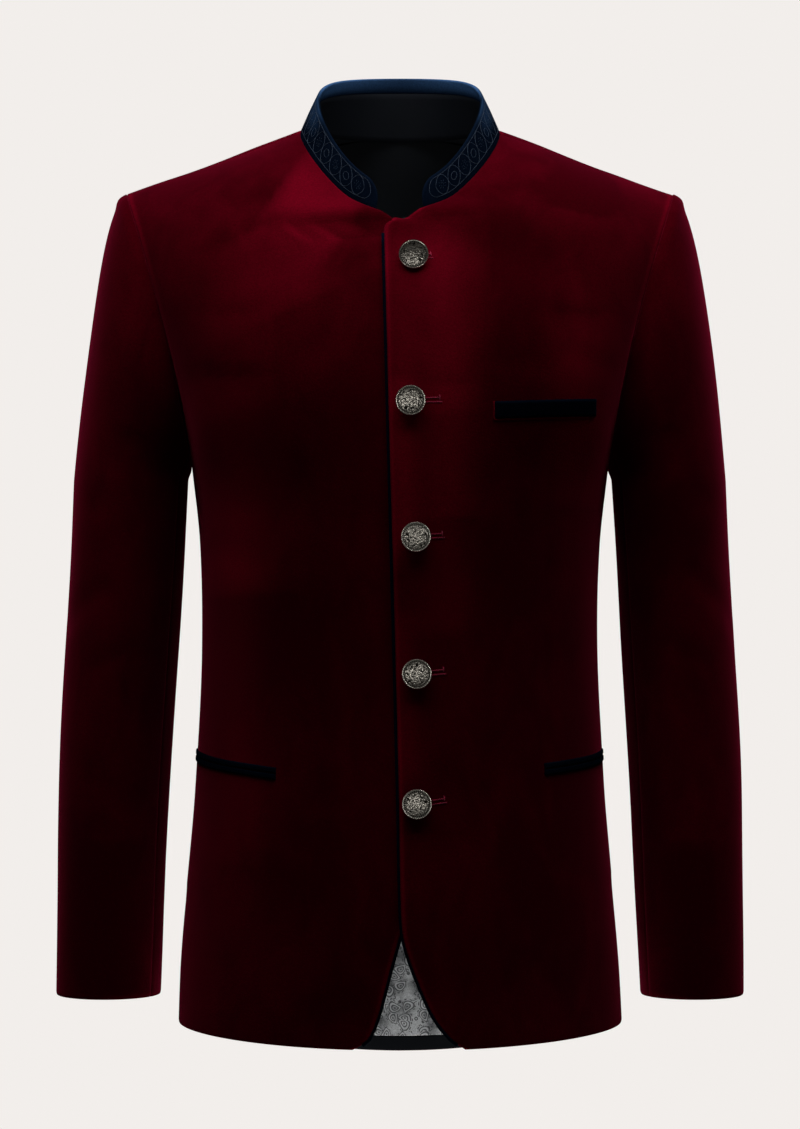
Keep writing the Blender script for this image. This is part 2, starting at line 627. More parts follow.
def jacquard(name, ground, figure, shadow):
    """Silver grey jacquard lining: paisley drops drawn in dark lines on a shining satin ground."""
    finish, node, link, shader, place = blank(name)
    flat = node("VectorMath", (place, (1, 0, 1)), operation="MULTIPLY")[0]
    # The drops lie about 13 mm apart, each turned another way.
    drops = node("TexVoronoi", {"Vector": flat, "Scale": 1 / 0.013, "Randomness": 0.7})
    chance = node("SeparateXYZ", (drops["Color"],))["X"]
    turn = node("Math", (chance, 2 * pi), operation="MULTIPLY")[0]
    offset = node("VectorMath", (flat, drops["Position"]), operation="SUBTRACT")[0]
    local = node("VectorRotate", {"Vector": offset, "Angle": turn}, rotation_type="Y_AXIS")[0]
    parts = node("SeparateXYZ", (local,))
    # A drop is 11 mm long and 8 mm wide, and narrows to a tip that curls over to one side.
    u = node("Math", (parts["X"], 0.0054), operation="DIVIDE")[0]
    squared = node("Math", (u, u), operation="MULTIPLY")[0]
    curl = node("Math", (squared, 0.0018), operation="MULTIPLY")[0]
    curled = node("Math", (parts["Z"], curl), operation="SUBTRACT")[0]
    taper = node("Math", (u, -0.50, 1.0), operation="MULTIPLY_ADD")[0]
    taper = node("Math", (taper, 0.2), operation="MAXIMUM")[0]
    breadth = node("Math", (taper, 0.0038), operation="MULTIPLY")[0]
    w = node("Math", (curled, breadth), operation="DIVIDE")[0]
    level = node("Math", (w, w), operation="MULTIPLY")[0]
    level = node("Math", (squared, level), operation="ADD")[0]
    level = node("Math", (level,), operation="SQRT")[0]
    # Two dark outlines with a bright one between them, a dark seed, and a row of dots all round.
    rings = ((0.98, 0.10), (0.50, 0.09), (0.74, 0.09), (1.30, 0.10))
    outer, inner, bright, around = (node("Math", (level, *ring), operation="COMPARE")[0] for ring in rings)
    seed = node("Math", (level, 0.16), operation="LESS_THAN")[0]
    wave = node("Math", (w, u), operation="ARCTAN2")[0]
    wave = node("Math", (wave, 11.0), operation="MULTIPLY")[0]
    wave = node("Math", (wave,), operation="SINE")[0]
    dotted = node("Math", (wave, 0.1), operation="GREATER_THAN")[0]
    dots = node("Math", (dotted, around), operation="MULTIPLY")[0]
    drawn = node("Math", (outer, inner), operation="MAXIMUM")[0]
    drawn = node("Math", (drawn, seed), operation="MAXIMUM")[0]
    drawn = node("Math", (drawn, dots), operation="MAXIMUM")[0]
    # Sprigs of 3 mm stand in the ground between the drops, in some places only.
    small = node("TexVoronoi", {"Vector": flat, "Scale": 1 / 0.0045, "Randomness": 1.0})
    sprigs = node("Math", (small["Distance"], 0.28, 0.09), operation="COMPARE")[0]
    chance = node("SeparateXYZ", (small["Color"],))["Y"]
    some = node("Math", (chance, 0.55), operation="GREATER_THAN")[0]
    sprigs = node("Math", (sprigs, some), operation="MULTIPLY")[0]
    clear = node("Math", (level, 1.45), operation="GREATER_THAN")[0]
    sprigs = node("Math", (sprigs, clear), operation="MULTIPLY")[0]
    drawn = node("Math", (drawn, sprigs), operation="MAXIMUM")[0]
    # Satin floats catch the light in clouds of 15 to 25 mm, and threads of 0.3 mm are drawn at 1.1 mm.
    cloud = node("TexNoise", {"Vector": flat, "Scale": 1 / 0.020, "Detail": 4.0})["Fac"]
    cloud = node("MapRange", (cloud, 0.40, 0.62))["Result"]
    woven = node("TexNoise", {"Vector": flat, "Scale": 1 / 0.0011, "Detail": 1.0})["Fac"]
    woven = node("MapRange", (woven, 0.3, 0.7, 0.75, 1.25))["Result"]
    clouded = node("Mix", {0: cloud, 6: ground, 7: shadow}, data_type="RGBA")[2]
    floats = node("VectorMath", {0: clouded, "Scale": woven}, operation="SCALE")[0]
    ink = node("Math", (drawn, 0.85), operation="MULTIPLY")[0]
    inked = node("Mix", {0: ink, 6: floats, 7: figure}, data_type="RGBA")[2]
    gleam = node("Math", (bright, 0.7), operation="MULTIPLY")[0]
    link(node("Mix", {0: gleam, 6: inked, 7: ground}, data_type="RGBA")[2], shader.inputs["Base Color"])
    link(node("MapRange", (drawn, 0.0, 1.0, 0.35, 0.6))["Result"], shader.inputs["Roughness"])
    raised = node("Bump", {"Height": drawn, "Strength": 0.4, "Distance": 0.0002})[0]
    link(raised, shader.inputs["Normal"])
    return finish


def silver(name, bright, tarnish):
    """Antiqued cast silver: dark oxide stays in the hollows, and the crests are rubbed bright."""
    finish, node, link, shader, place = blank(name)
    # Tarnish gathers in spots of about 1 mm.
    spots = node("TexNoise", {"Vector": place, "Scale": 1 / 0.0010, "Detail": 2.0})["Fac"]
    relief = node("Attribute", attribute_name="relief")["Fac"]
    worn = node("Math", (spots, 0.5, relief), operation="MULTIPLY_ADD")[0]
    worn = node("MapRange", (worn, 0.20, 0.95))["Result"]
    pitted = node("Bump", {"Height": spots, "Strength": 0.4, "Distance": 0.0002})[0]
    link(node("Mix", {0: worn, 6: tarnish, 7: bright}, data_type="RGBA")[2], shader.inputs["Base Color"])
    link(node("MapRange", (worn, 0.0, 1.0, 0.55, 0.26))["Result"], shader.inputs["Roughness"])
    link(pitted, shader.inputs["Normal"])
    shader.inputs["Metallic"].default_value = 1.0
    return finish


def thread(name, colour, shine):
    """Mercerised sewing thread: plies twisted together, with a soft shine along the stitch."""
    finish, node, link, shader, place = blank(name)
    # The twist repeats every 0.6 mm.
    twist = node("TexNoise", {"Vector": place, "Scale": 1 / 0.0006, "Detail": 1.0})["Fac"]
    shade = node("MapRange", (twist, 0.3, 0.7, 0.6, 1.4))["Result"]
    shaded = node("VectorMath", {0: tuple(colour)[:3], "Scale": shade}, operation="SCALE")[0]
    plied = node("Bump", {"Height": twist, "Strength": 0.5, "Distance": 0.0002})[0]
    link(shaded, shader.inputs["Base Color"])
    link(plied, shader.inputs["Normal"])
    shader.inputs["Roughness"].default_value = shine
    return finish


def paper(name, colour):
    """Pale background paper, evenly lit, which throws nothing back on the cloth."""
    finish, node, link, shader, _ = blank(name)
    glow = node("Emission", {"Color": colour, "Strength": 1.0})[0]
    link(glow, finish.node_tree.nodes["Material Output"].inputs["Surface"])
    finish.node_tree.nodes.remove(shader)
    return finish


def finish_named(name):
    """A finish of the jacket, made the first time that it is asked for."""
    colours = bpy.context.scene.jacket_colours
    made = {
        "wine velvet": (velvet, colours.deep, colours.lit, colours.sheen, 0.70, 0.14),
        "navy velvet": (velvet, colours.trim, colours.trim_lit, colours.trim_lit, 0.05, 0.02),
        "black satin": (satin, colours.facing),
        "dull black satin": (satin, colours.band),
        "grey jacquard": (jacquard, colours.lining, colours.figure, colours.shadow),
        "antique silver": (silver, colours.metal, colours.tarnish),
        "buttonhole thread": (thread, colours.buttonholes, 0.5),
        "embroidery thread": (thread, colours.embroidery, 0.5),
        "background paper": (paper, colours.paper),
    }
    make, *values = made[name]
    return bpy.data.materials.get(name) or make(name, *values)


def graded(length, step, start=True, stop=True):
    """Shares of a length from 0 to 1, evenly spaced but closer together at the ends that are asked for."""
    first = [0.0] + [d / length for d in EDGE_LINES] if start else [0.0]
    last = [1 - d / length for d in reversed(EDGE_LINES)] + [1.0] if stop else [1.0]
    count = max(2, round((last[0] - first[-1]) * length / step))
    return first[:-1] + [lerp(first[-1], last[0], k / count) for k in range(count + 1)] + last[1:]


def walk(points, axis):
    """Distance along the rows (0) or columns (1) of a grid of points, from the first one."""
    steps = np.linalg.norm(np.diff(points, axis=axis), axis=2)
    zero = np.zeros_like(np.take(steps, [0], axis=axis))
    return np.concatenate([zero, np.cumsum(steps, axis=axis)], axis=axis)


def roll(distance, reach, depth):
    """How far cloth turns down towards a seam or a folded edge."""
    return -depth * np.clip(1 - distance / reach, 0, 1) ** 2.2


def line_marks(across, level, panel, table):
    """The sum of soft marks along a panel's lines."""
    total = np.zeros(np.shape(level))
    for line in named_rows(table):
        if line["panel"] == panel:
            x, low, to_x, to_low = (line[name] for name in ("x", "level", "to_x", "to_level"))
            ahead, up = to_x - x, to_low - low
            near = np.clip(((across - x) * ahead + (level - low) * up) / (ahead ** 2 + up ** 2), 0, 1)
            off = np.hypot(across - lerp(x, to_x, near), level - lerp(low, to_low, near)) / line["width"]
            total += line["strength"] * np.exp(-off * off) * np.sqrt(np.clip(8 * near * (1 - near), 0, 1))
    return total


def softness(points, seed):
    """Gentle unevenness of hanging cloth, longer down it than across."""
    cloth = bpy.context.scene.jacket_cloth
    size = Vector((1 / cloth.wave, 1 / cloth.wave, 0.4 / cloth.wave))
    shift = Vector((seed, seed * 2, 0))
    values = [noise.noise(Vector(p) * size + shift) for p in points.reshape(-1, 3)]
    return cloth.softness * np.array(values).reshape(points.shape[:2])


def smoothed(points, rows, at, reach):
    """Rounds the crease along one row of a grid with a smooth curve that reaches some way above and below."""
    points = points.copy()
    line = int(np.argmin(np.abs(np.array(rows) - at)))
    down, across = walk(points, 0), walk(points, 1)[line]
    share = ease(across / SOFTENING_FADE) * ease((across[-1] - across) / SOFTENING_FADE)
    for k in range(points.shape[1]):
        s = down[:, k] - down[line, k]
        near = np.flatnonzero(np.abs(s) < reach)
        a, b = near[0] - 1, near[-1] + 1
        width = s[b] - s[a]
        leave = (points[a, k] - points[a - 1, k]) / (s[a] - s[a - 1]) * width / 3
        arrive = (points[b + 1, k] - points[b, k]) / (s[b + 1] - s[b]) * width / 3
        f = ((s[near] - s[a]) / width)[:, None]
        curve = bezier(points[a, k], points[a, k] + leave, points[b, k] - arrive, points[b, k], f)
        points[near, k] = lerp(points[near, k], curve, share[k])
    return points


def grid_normals(points, like):
    """Outward normals of a grid of points, on the same side as others that are about right."""
    normals = unit(np.cross(np.gradient(points, axis=1), np.gradient(points, axis=0)))
    return normals * np.sign((normals * like).sum(axis=2, keepdims=True))


def shell(name, outer, inner, finishes, inside=None, **marks):
    """A closed piece of cloth between two grids of points, its edges rounded.

    Inside gives the finish of each inner face, and marks are values kept on the points for the finish.
    """
    rows, columns = outer.shape[:2]
    index = np.arange(rows * columns).reshape(rows, columns)
    ring = np.concatenate([index[0, :-1], index[:-1, -1], index[-1, :0:-1], index[:0:-1, 0]])
    inward = np.concatenate([index[1, :-1], index[:-1, -2], index[-2, :0:-1], index[:0:-1, 1]])
    flat_outer, flat_inner = outer.reshape(-1, 3).copy(), inner.reshape(-1, 3).copy()
    away = unit(flat_outer[ring] - flat_outer[inward] + 1e-12)
    edge = (flat_outer[ring] + flat_inner[ring]) / 2 + away * EDGE_OUT
    flat_outer[ring] -= away * EDGE_IN
    flat_inner[ring] -= away * EDGE_IN

    total, count = rows * columns, len(ring)
    a, b = index[:-1, :-1].ravel(), index[:-1, 1:].ravel()
    c, d = index[1:, 1:].ravel(), index[1:, :-1].ravel()
    here = np.arange(count)
    after = np.roll(here, -1)
    faces = np.concatenate([
        np.stack([a, b, c, d], 1),
        np.stack([d, c, b, a], 1) + total,
        np.stack([ring[after], ring[here], 2 * total + here, 2 * total + after], 1),
        np.stack([2 * total + after, 2 * total + here, total + ring[here], total + ring[after]], 1),
    ])
    k, n = rows // 2, columns // 2
    facing = np.cross(outer[k, n + 1] - outer[k, n], outer[k + 1, n] - outer[k, n])
    if np.dot(facing, outer[k, n] - inner[k, n]) < 0:
        faces = faces[:, ::-1]

    points = np.concatenate([flat_outer, flat_inner, edge]).tolist()
    marks = {label: np.concatenate([values.ravel(), values.ravel(), values.ravel()[ring]])
             for label, values in marks.items()}
    piece = solid(name, points, faces.tolist(), finishes, **marks)
    if inside is not None:
        kinds = np.zeros(len(faces), int)
        kinds[len(a):2 * len(a)] = inside[:-1, :-1].ravel()
        piece.data.polygons.foreach_set("material_index", kinds)
    return piece


def solid(name, points, faces, finishes, **marks):
    """A smooth piece made of points and faces, with values kept on its points for the finish."""
    mesh = bpy.data.meshes.new(name)
    mesh.from_pydata(points, [], faces)
    for finish in finishes:
        mesh.materials.append(finish_named(finish))
    for label, values in marks.items():
        mesh.attributes.new(label, "FLOAT", "POINT").data.foreach_set("value", values)
    mesh.shade_smooth()
    piece = bpy.data.objects.new(name, mesh)
    bpy.context.scene.collection.objects.link(piece)
    return piece


def ring_faces(count, rings, start=0, closed=True):
    """Faces between closed rings of as many points each, and over both ends."""
    faces = []
    for k in range(rings - 1):
        for n in range(count):
            a, b = start + k * count + n, start + k * count + (n + 1) % count
            faces.append((a, b, b + count, a + count))
    if closed:
        faces.append(tuple(start + n for n in reversed(range(count))))
        faces.append(tuple(start + (rings - 1) * count + n for n in range(count)))
    return faces


def sided(vector, side):
    """A place or direction on the wearer's left, or its mirror image on the right."""
    return Vector((vector.x * side, vector.y, vector.z))


def dress(piece, slot, *nodes):
    """Ties a finished piece to the body, its material slot and the solids that it stands for."""
    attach(piece, "root")
    if nodes:
        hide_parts(*nodes)
    cut = {row["piece"]: row for row in named_rows(CUTS)}.get(piece.name)
    return piece


def tubes(name, paths, radius, sides, finish, stroked=0.0):
    """Round threads along many paths, as one piece. Each path is a list of points with their normals."""
    points, faces = [], []
    circle = [(cos(2 * pi * n / sides), sin(2 * pi * n / sides)) for n in range(sides)]
    for path in paths:
        faces += ring_faces(sides, len(path), len(points))
        for k, (point, normal) in enumerate(path):
            ahead = (path[min(k + 1, len(path) - 1)][0] - path[max(k - 1, 0)][0]).normalized()
            across = ahead.cross(normal).normalized()
            up = across.cross(ahead)
            points += [point + (across * c + up * s) * radius for c, s in circle]
    return solid(name, points, faces, [finish], stroked=[stroked] * len(points))


def loft(name, sections, finish, **marks):
    """A closed piece through closed sections of as many points each."""
    points = [point for section in sections for point in section]
    piece = solid(name, points, ring_faces(len(sections[0]), len(sections)), [finish], **marks)
    piece.data.set_sharp_from_angle(angle=radians(60))
    return piece


def half_rows(half):
    """Rows of a half's grid, close together at the hem, at the shoulder and round the neck's corner."""
    lengths = (UNDERARM.z - half.hem, half.neck_level - UNDERARM.z, half.past_neck)
    whole = sum(lengths)
    corner = (lengths[0] + lengths[1]) / whole
    shares = graded(whole, CLOTH_STEP) + [corner - d / whole for d in (0, *EDGE_LINES[:4])]
    places = (0, lengths[0] / whole, corner, 1)
    return sorted(float(np.interp(s, places, (-1, 0, half.neck_row, TOP_ROW))) for s in shares)


def finish_panel(kind, hand, points, normals, moved, across, seam, inside=1):
    """Makes one velvet panel from its grid, drawn on the left side, and how far its cloth moves out."""
    cloth = bpy.context.scene.jacket_cloth
    node, level, side = f"{kind}_{hand}", points[..., 2], HANDS[hand]
    moved = moved - line_marks(across, level, node, CREASES) * cloth.crease
    moved += softness(points, SEEDS[kind] + side)
    stroked = line_marks(across, level, node, STROKES)
    outer, inner = points + normals * moved[..., None], points - normals * cloth.wall
    if side < 0:
        outer, inner = outer * MIRROR, inner * MIRROR
    finishes = ["wine velvet", "black satin", "grey jacquard"]
    inside = np.broadcast_to(inside, level.shape)
    piece = shell(f"velvet_{node}", outer, inner, finishes, inside, seam=seam, stroked=stroked)
    return dress(piece, "wine_velvet", node)


def half_seams(points):
    """Distances on a half of the body from its front, side and hem, and how far its seams turn down."""
    depth = bpy.context.scene.jacket_cloth.seam_depth
    across, up = walk(points, 1), walk(points, 0)
    from_side, from_top = across[:, -1:] - across, up[-1:] - up
    moved = roll(from_side, ARMHOLE_REACH, depth * armhole_sink(points))
    moved += roll(from_top, SEAM_REACH, depth / 2)
    moved += roll(across, SEAM_REACH, depth) + roll(up, EDGE_REACH, depth)
    return across, from_side, up, moved


def build_front(hand):
    side = HANDS[hand]
    shares = np.array(graded(HALF_WIDTH, CLOTH_STEP))
    rows = half_rows(FRONT)
    points, normals = [], []
    for row in rows:
        start = 0.0
        if row <= FRONT.neck_row:
            start = t_at(FRONT, row, read(EDGES[hand], "x", row_ends(FRONT, row)[0].z))
        ts = lerp(start, 1, shares)
        flip = np.where(ts[:, None] < 0, MIRROR, 1)
        line, ups = body(FRONT, row, abs(ts)) * flip, body_normal(FRONT, row, abs(ts)) * flip
        points.append(line + ups * front_lift(side, row, line[:, :1]))
        normals.append(ups)
    points, normals = np.array(points), np.array(normals)
    points = smoothed(smoothed(points, rows, FRONT.neck_row, NECK_SOFTENING), rows, 0.0, UNDERARM_SOFTENING)
    normals = grid_normals(points, normals)
    across, from_side, up, moved = half_seams(points)
    darts = line_marks(points[..., 0], points[..., 2], f"front_{hand}", DARTS)
    moved -= darts * bpy.context.scene.jacket_cloth.dart_depth
    # The pile stands up along the front edge, and on the left front along its top corner too.
    to_neck = np.array(rows)[:, None] < FRONT.neck_row
    corner = (side > 0) * ease((0.024 - points[..., 0]) / 0.008)
    seam = seam_mark(across, 0.32) * np.where(to_neck, 1, corner)
    seam += seam_mark(from_side, 0.20, 0.0020) * (1.10 - armhole_sink(points)) + seam_mark(up, 0.10)
    inside = np.where((across < FACING_WIDTH) | (up < FRONT_HEM_WIDTH), 1, 2)
    return finish_panel("front", hand, points, normals, moved, points[..., 0], seam, inside)


def seam_mark(distance, strength, width=PILE_WIDTH):
    """The pile stands up along a seam or an edge and catches the light there."""
    return strength * np.exp(-(distance / width - 1) ** 2)


def armhole_sink(points):
    """A seam's depth down the armhole: it lies flat on the shoulder and sinks in towards the underarm."""
    return lerp(0.02, 0.55, ease((-0.06 - points[..., 2]) / 0.14))


def build_back(hand):
    shares = np.array(graded(HALF_WIDTH, CLOTH_STEP))
    rows = half_rows(BACK)
    points = np.array([body(BACK, row, shares) for row in rows])
    normals = np.array([body_normal(BACK, row, shares) for row in rows])
    points = smoothed(smoothed(points, rows, BACK.neck_row, NECK_SOFTENING), rows, 0.0, UNDERARM_SOFTENING)
    normals = grid_normals(points, normals)
    across, from_side, up, moved = half_seams(points)
    seam = seam_mark(across, 0.25) + seam_mark(from_side, 0.20, 0.0032) + seam_mark(up, 0.10)
    return finish_panel("back", hand, points, normals, moved, points[..., 0], seam)


def build_sleeve(kind, start, stop, hand):
    cloth = bpy.context.scene.jacket_cloth
    along = [float(np.interp(s, (0, 0.30, 1), (0, 1, 2))) for s in graded(0.60, CLOTH_STEP)]
    angles = np.array([lerp(start, stop, s) for s in graded(0.055 * (stop - start), CLOTH_STEP)])
    points = np.array([[sleeve(place, angle) for angle in angles] for place in along])
    normals = np.array([[sleeve_normal(min(max(place, 0.002), 1.999), angle) for angle in angles]
                        for place in along])
    across, down = walk(points, 1), walk(points, 0)
    from_end, from_cuff = across[:, -1:] - across, down[-1:] - down
    depth = cloth.seam_depth
    top = np.clip(np.cos(angles * 0.75), 0, 1) ** 2
    moved = roll(across, SEAM_REACH, depth) + roll(from_end, SEAM_REACH, depth)
    moved += roll(down, ARMHOLE_REACH, depth * 0.9 * (1 - top)) + roll(from_cuff, EDGE_REACH, depth)
    # The sleeve head is eased in, so it goes straight on from the shoulder before it falls.
    moved += np.exp(-((down - 0.0075) / 0.0055) ** 2) * top ** 2 * cloth.head_rise
    around = np.broadcast_to(angles * ARM_RADIUS, points.shape[:2])
    return finish_panel(kind, hand, points, normals, moved, around, seam_mark(from_cuff, 0.12))


def build_allowances(hand):
    """Seam allowances inside an armhole and a shoulder, rolled together: nothing shows between the pieces."""
    side = HANDS[hand]
    armhole_line, shoulder_line = [], []
    for k in range(1, 96):
        angle = 2 * pi * k / 96
        half = FRONT if angle < pi else BACK
        up = min(angle, 2 * pi - angle)
        row = (up / pi) ** (1 / ARMHOLE_ROWS)
        out = Vector(body_normal(half, row, 1.0)) + sleeve_normal(0.002, pi - angle)
        armhole_line.append((armhole(up, half.face, half.armhole_depth), out.normalized()))
    for k in range(1, 32):
        out = Vector(body_normal(FRONT, TOP_ROW, k / 32)) + Vector(body_normal(BACK, TOP_ROW, k / 32))
        shoulder_line.append((Vector(body(FRONT, TOP_ROW, k / 32)), out.normalized()))
    paths = [[(sided(point - out * ALLOWANCE_DEPTH, side), sided(out, side)) for point, out in line]
             for line in (armhole_line, shoulder_line)]
    piece = tubes(f"velvet_seam_allowances_{hand}", paths, ALLOWANCE_RADIUS, 8, "wine velvet")
    return dress(piece, "wine_velvet")


def seam_lift(side, angle):
    """How far the neckline of the front that lies on top stands off the body's own surface."""
    if angle <= pi / 2:
        return Vector()
    row = lerp(1, FRONT.neck_row, angle * 2 / pi - 1)
    return Vector(body_normal(FRONT, row, 0.0)) * float(front_lift(side, row, neckline(angle).x))


@lru_cache(maxsize=None)
def collar_slice(side, angle):
    """The seam point, the direction up, the direction in and the height of the collar at an angle."""
    lift = seam_lift(side, angle)
    base, top = neckline(angle) + lift, collar_top(angle) + lift
    ahead = neckline(angle + TINY) - neckline(angle - TINY)
    into = ahead.cross(top - base).normalized()
    past = max(angle - (COLLAR_END - COLLAR_ROUNDING), 0) / COLLAR_ROUNDING
    share = lerp(COLLAR_END_HEIGHT, 1, sqrt(max(1 - past * past, 0)))
    return base, (top - base).normalized(), into, (top - base).length * share


def collar_spot(angle, height, depth):
    """A point of the collar at an angle from the back, a height up from its seam and a depth in."""
    side = -1 if angle < 0 else 1
    base, up, into, _ = collar_slice(side, abs(angle))
    return sided(base + up * height + into * depth, side)


def collar_height(angle):
    return collar_slice(-1 if angle < 0 else 1, abs(angle))[3]


def collar_angles(spacing, trim=0):
    """Angles from one front end round the back to the other, closer together where the ends are rounded."""
    plain = COLLAR_END - COLLAR_ROUNDING
    count = round(plain * NECK_HALF_WIDTH / spacing)
    half = [plain * k / count for k in range(count + 1)]
    half += [plain + COLLAR_ROUNDING * sin(pi / 2 * k / 14) for k in range(1, 15 - trim)]
    return [-angle for angle in reversed(half[1:])] + half


def collar_turn_in(angle):
    return min(COLLAR_TURN_IN, COLLAR_TURN_IN_SHARE * collar_height(angle))


def build_collar():
    """The velvet stand-up collar: up its outer face, over its soft edge and a little way down inside."""
    soft = COLLAR_THICKNESS / 2
    sections, stroked = [], []
    for angle in collar_angles(0.0025):
        height, fold = collar_height(angle), collar_height(angle) - collar_turn_in(angle)
        crown = height - soft
        profile = [(0.0012, COLLAR_TUCK), (0.0004, 0.0002), (0.0, COLLAR_FACE)]
        profile += [(-0.0004 * sin(pi * k / 12), lerp(COLLAR_FACE, crown, k / 12)) for k in range(1, 13)]
        profile += [(soft - soft * cos(pi * k / 10), crown + soft * sin(pi * k / 10)) for k in range(1, 10)]
        profile += [(COLLAR_THICKNESS, lerp(crown, fold, k / 5)) for k in range(6)]
        profile += [(COLLAR_FACE, lerp(fold, COLLAR_TUCK, k / 5)) for k in range(6)]
        sections.append([collar_spot(angle, high, depth) for depth, high in profile])
        side = abs(sin(angle))
        back = min(max(2.2 * cos(angle), 0), 1) * lerp(0.42, 1.40, side ** 1.5)
        turned = 0.20 * float(ease((side - 0.90) / 0.10))
        for depth, high in profile:
            inner = back * float(ease((high - height + 0.013) / 0.010))
            outer = turned * float(ease((high - height + 0.022) / 0.016))
            edge = (0.03 + 0.08 * back) * float(ease((high - height + 0.005) / 0.005))
            stroked.append((inner if depth > soft / 2 else outer) + edge)
    marks = {"stroked": stroked, "seam": [0.0] * len(stroked)}
    return dress(loft("velvet_collar", sections, "navy velvet", **marks), "navy_velvet", "collar")


def build_collar_lining():
    depths = (COLLAR_THICKNESS, COLLAR_THICKNESS - LINING_WALL)
    faces = ([], [])
    for angle in collar_angles(0.004, trim=6):
        top = collar_height(angle) - collar_turn_in(angle) - SEAM_GAP
        heights = [lerp(COLLAR_LINING_FOOT, top, k / 8) for k in range(9)]
        for face, depth in zip(faces, depths):
            face.append([collar_spot(angle, height, depth) for height in heights])
    piece = shell("satin_collar_lining", np.array(faces[0]), np.array(faces[1]), ["dull black satin"])
    return dress(piece, "dark_facing", "collar_lining")


def build_embroidery():
    """Two interlaced stitched waves in a frame on each collar end, with rings and stars in their eyes."""
    paths = []

    def spot(side, along, share):
        """A place on the collar, along it from its front end and a share of the band's height up."""
        angle = side * (COLLAR_END - along / NECK_TURN)
        high = lerp(FRAME_LOW, collar_height(angle) - FRAME_HIGH, share)
        outer, inner = collar_spot(angle, high, -EMBROIDERY_OUT), collar_spot(angle, high, 0.001)
        return outer, (outer - inner).normalized()

    def stitch(side, places):
        paths.append([spot(side, *place) for place in places])

    for side in (-1, 1):
        for share in (0.0, 1.0):
            stitch(side, [(lerp(EYES_START, EYES_END, k / 100), share) for k in range(101)])
        bow = [(EYES_START - FRAME_BOW * sin(pi * k / 24), 0.5 - 0.5 * cos(pi * k / 24)) for k in range(25)]
        stitch(side, bow)
        for lift in (WAVE_HEIGHT, -WAVE_HEIGHT):
            wave = []
            for k in range(241):
                swing = sin(pi * EYES * k / 240)
                swing = lift * copysign(abs(swing) ** WAVE_BLUNTNESS, swing)
                wave.append((lerp(EYES_START, EYES_END, k / 240), 0.5 + swing))
            stitch(side, wave)
        for number in range(EYES):
            middle = EYES_START + EYE * (number + 0.5)
            if number % 2:
                turns = [pi * k / 9 for k in range(19)]
                stitch(side, [(middle + RING[0] * cos(turn), 0.5 + RING[1] * sin(turn)) for turn in turns])
                continue
            for turn in range(8):
                for step in (0.4, 0.8):
                    a, s = STAR[0] * step * cos(pi * turn / 4), STAR[1] * step * sin(pi * turn / 4)
                    stitch(side, [(middle + a * f, 0.5 + s * f) for f in (0.90, 1.0, 1.12)])
    return dress(tubes("collar_embroidery", paths, EMBROIDERY_RADIUS, 5, "embroidery thread"), "navy_velvet")


def inside_back(cloth, node, slot, finish, first, last):
    """A lining or facing inside both backs, between two rows."""
    sizes = bpy.context.scene.jacket_cloth
    rows = [lerp(first, last, s) for s in graded(max((last - first) * ROW_HEIGHT, 0.03), LINING_STEP)]
    half = np.array(graded(LINING_WIDTH, LINING_STEP, start=False)) * LINING_REACH
    ts = np.concatenate([-half[:0:-1], half])
    flip = np.where(ts[:, None] < 0, MIRROR, 1)
    points = np.array([body(BACK, row, abs(ts)) * flip for row in rows])
    normals = np.array([body_normal(BACK, row, abs(ts)) * flip for row in rows])
    uneven = LINING_SOFTNESS * np.abs(softness(points, SEEDS["lining"]))
    points -= normals * (sizes.wall + SEAM_GAP + uneven)[..., None]
    piece = shell(f"{cloth}_{node}", points, points - normals * LINING_WALL, [finish])
    return dress(piece, slot, node)


def build_piping(hand):
    """A velvet cord sewn along a front edge, from the neck down round the cut-away to the hem."""
    side, edge, clear = HANDS[hand], EDGES[hand], PIPING_RADIUS * 0.7
    path = []
    for row in [row for row in half_rows(FRONT) if PIPING_FOOT_ROW < row < FRONT.neck_row][1::2]:
        level = row_ends(FRONT, row)[0].z
        if level > PIPING_TOP:
            break
        x = read(edge, "x", level)
        slope = (read(edge, "x", level + clear) - read(edge, "x", level - clear)) / (2 * clear)
        t = t_at(FRONT, row, x)
        normal = Vector(body_normal(FRONT, row, abs(t)))
        point = Vector(body(FRONT, row, abs(t))) + normal * (float(front_lift(side, row, x)) - PIPING_SUNK)
        flip = -1 if t < 0 else 1
        away = Vector((-1, 0, slope)).normalized() * clear
        path.append((sided(sided(point, flip) + away, side), sided(normal, flip * side)))
    piece = tubes(f"velvet_piping_{hand}", [path], PIPING_RADIUS, 10, "navy velvet")
    return dress(piece, "navy_velvet", f"front_piping_{hand}")


def ground(piece):
    """A way to find the place and normal on a finished front, seen from an angle round from the front."""
    mesh, reach = piece.data, 0.0012
    corners, faces = [v.co.copy() for v in mesh.vertices], [tuple(p.vertices) for p in mesh.polygons]
    tree = BVHTree.FromPolygons(corners, faces)

    def at(x, level, turn):
        across, ahead = Vector((cos(turn), sin(turn), 0)), Vector((-sin(turn), cos(turn), 0))
        hit = tree.ray_cast(across * x + Vector((0, 0, level)) - ahead, ahead)[0]
        if hit is None:
            raise RuntimeError(f"{piece.name} has no cloth at x {x:.4f}, level {level:.4f}")
        return hit

    def spot(x, level, turn=0.0, out=0.0):
        across = at(x + reach, level, turn) - at(x - reach, level, turn)
        up = at(x, level + reach, turn) - at(x, level - reach, turn)
        normal = across.cross(up).normalized()
        return at(x, level, turn) + normal * out, normal

    return spot


